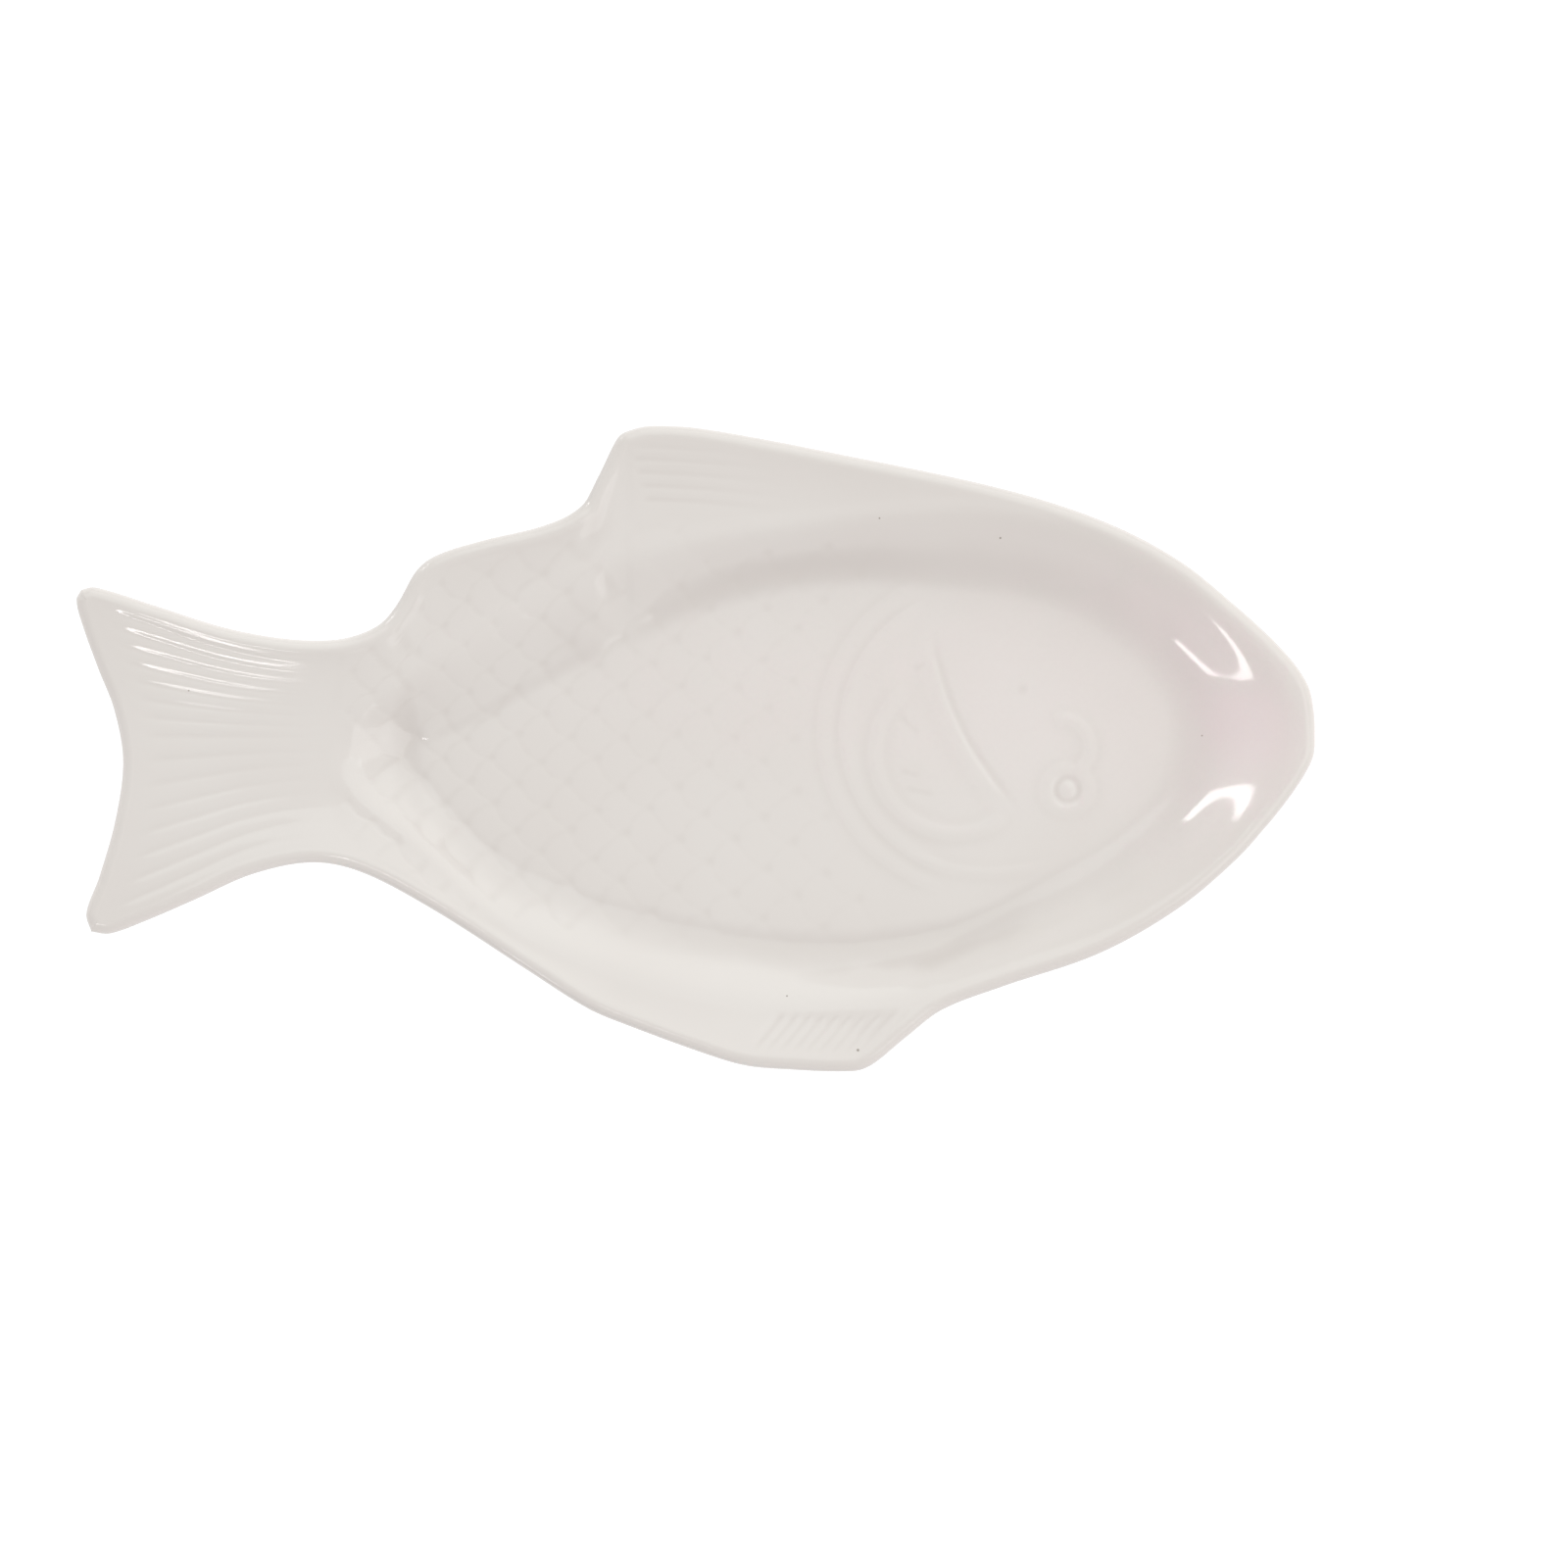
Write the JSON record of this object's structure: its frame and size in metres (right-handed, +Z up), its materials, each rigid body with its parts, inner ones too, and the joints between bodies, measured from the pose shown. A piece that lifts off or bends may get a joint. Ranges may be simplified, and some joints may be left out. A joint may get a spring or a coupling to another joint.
{
  "type": "fish shaped platter",
  "caption": "White glazed ceramic serving platter in the shape of a fish, with a recessed well, embossed scales, gill cover, eye and fin rays, a rolled lip and a foot ring.",
  "frame": {"origin": "on the table under the middle of the platter's outline: the bottom centre of its bounding box", "axes": "+X towards the fish's nose, +Y towards its dorsal fin, +Z up out of the well"},
  "size_m": [0.278, 0.1451, 0.02],
  "materials": {
    "glazed_body": "gloss"
  },
  "bodies": {
    "root": {"platter": "glazed_body"}
  },
  "joints": []
}
